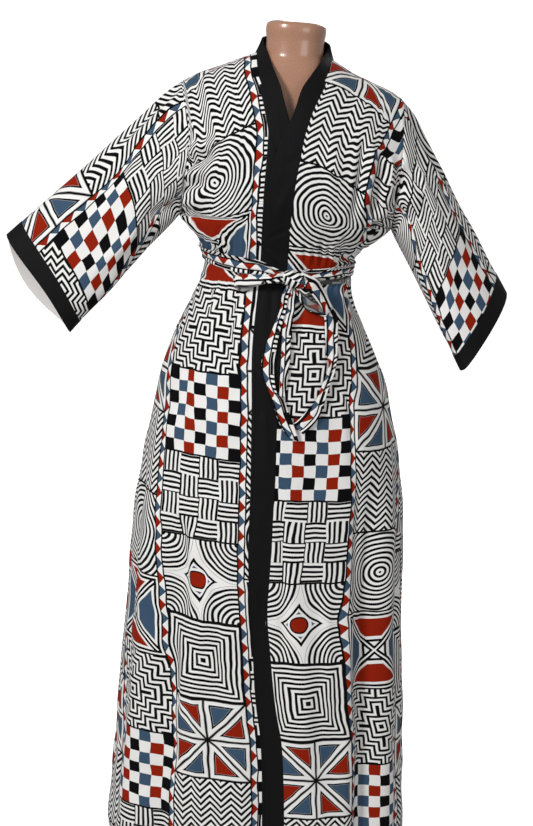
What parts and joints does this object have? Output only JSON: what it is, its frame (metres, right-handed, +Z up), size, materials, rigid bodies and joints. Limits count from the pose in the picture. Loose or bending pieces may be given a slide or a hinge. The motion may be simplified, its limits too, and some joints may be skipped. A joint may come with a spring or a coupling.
{
  "type": "kimono on a dress form",
  "caption": "Long open-fronted robe with wide sleeves, contrasting front bands and a tied belt, worn by a limbless dress form on a pole and round base.",
  "frame": {"origin": "middle of the stand base's underside, on the floor", "axes": "+Z up, the garment's front faces -Y and the wearer's left is +X"},
  "size_m": [0.9031, 0.3786, 1.606],
  "materials": {
    "print_cotton": "matt cotton printed in black, red and slate blue on white",
    "black_cotton": "matt black plain-weave cotton",
    "form_plastic": "glossy skin-toned moulded plastic",
    "stand_metal": "satin light grey powder coat"
  },
  "bodies": {
    "root": {"back_right": "print_cotton", "back_left": "print_cotton", "front_right": "print_cotton", "sleeve_right": "print_cotton", "cuff_right": "black_cotton", "neck_band_right": "black_cotton", "front_left": "print_cotton", "sleeve_left": "print_cotton", "cuff_left": "black_cotton", "neck_band_left": "black_cotton", "belt_wrap": "print_cotton", "belt_knot": "print_cotton", "belt_loop_right": "print_cotton", "belt_loop_left": "print_cotton", "belt_tail_right": "print_cotton", "belt_tail_left": "print_cotton", "form_body": "form_plastic", "form_pole": "stand_metal", "form_base": "stand_metal"}
  },
  "joints": []
}
